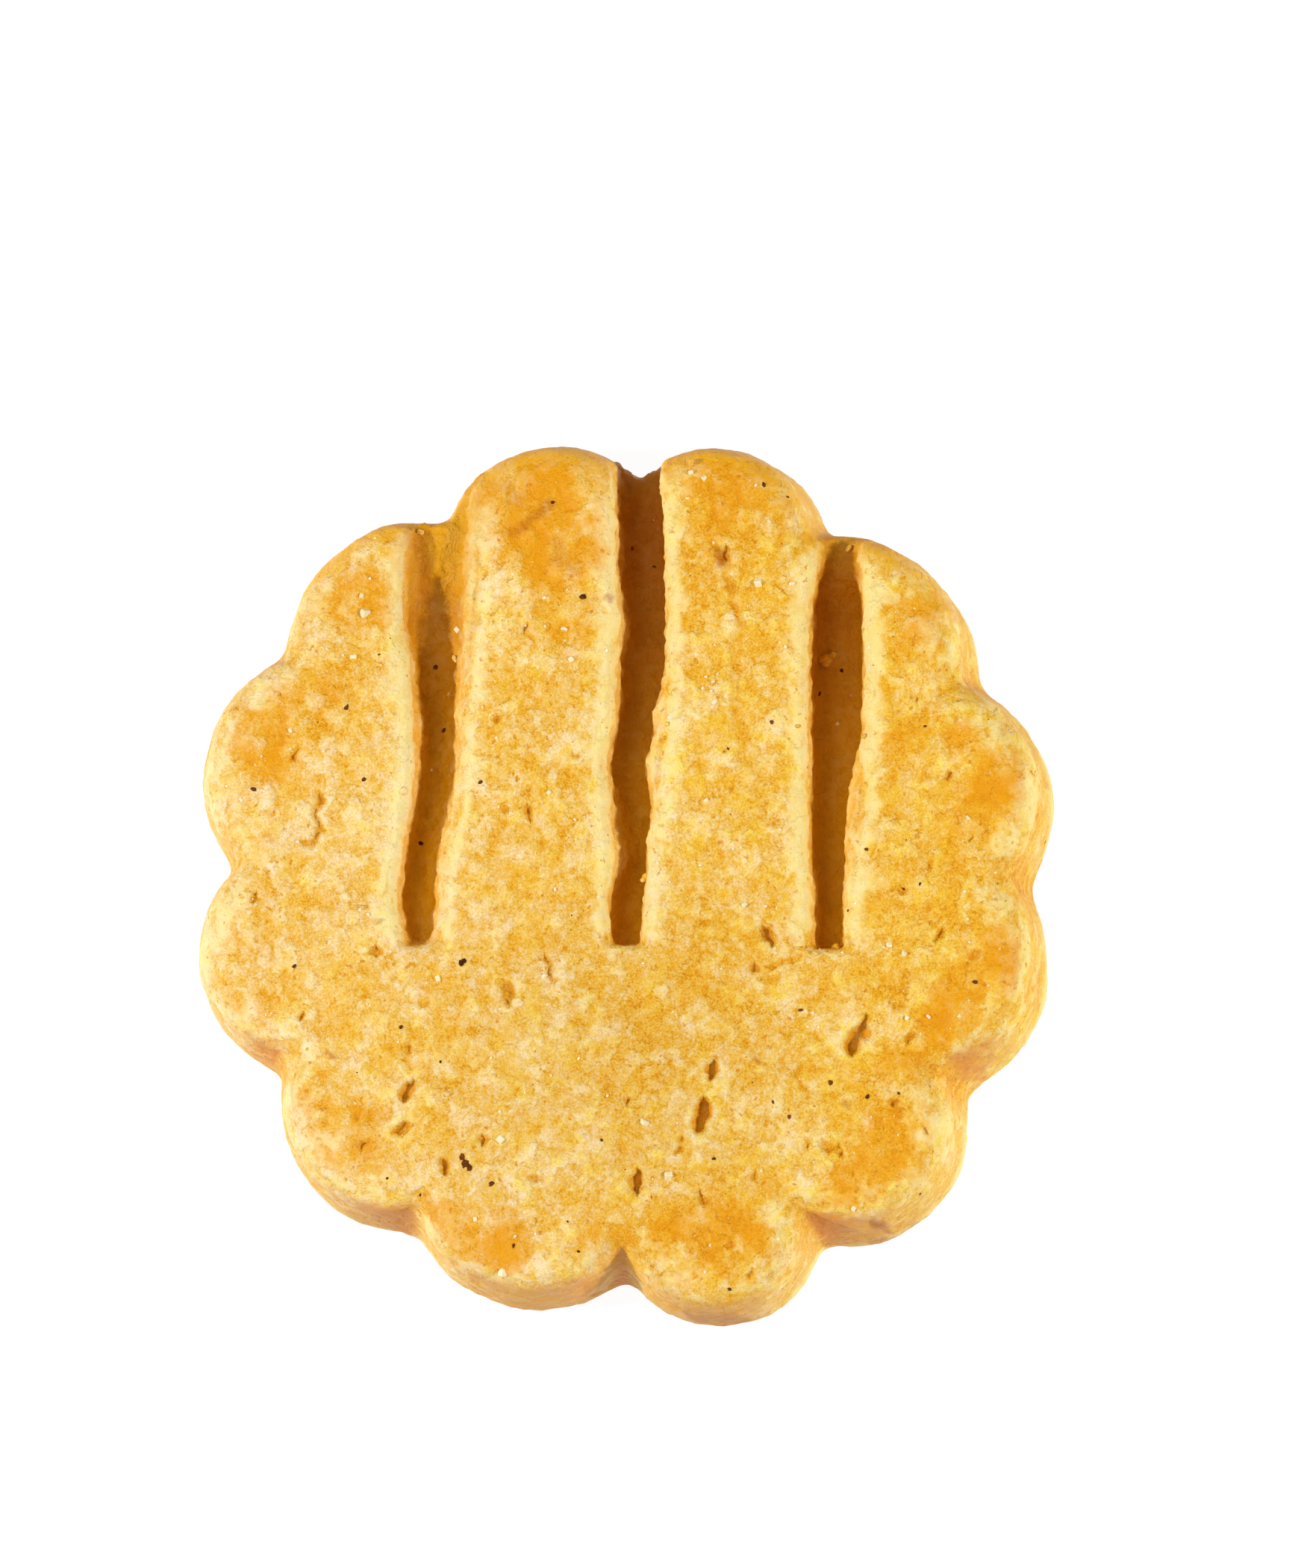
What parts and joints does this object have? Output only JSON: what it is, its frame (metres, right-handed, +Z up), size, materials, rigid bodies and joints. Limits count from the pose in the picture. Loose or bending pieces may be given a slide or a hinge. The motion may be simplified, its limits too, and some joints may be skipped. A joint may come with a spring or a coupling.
{
  "type": "shortbread biscuit",
  "caption": "Round shortbread biscuit with a fluted rim and open grooves pressed into one half of its top.",
  "frame": {"origin": "under the middle of the biscuit, on the surface it lies on", "axes": "+Z up out of the grooved top; the grooves run along Y and open at the +Y rim; +X to the right of the open ends"},
  "size_m": [0.0594, 0.061, 0.0102],
  "materials": {
    "shortbread": "matte, sandy crumb"
  },
  "bodies": {
    "root": {"biscuit": "shortbread"}
  },
  "joints": []
}
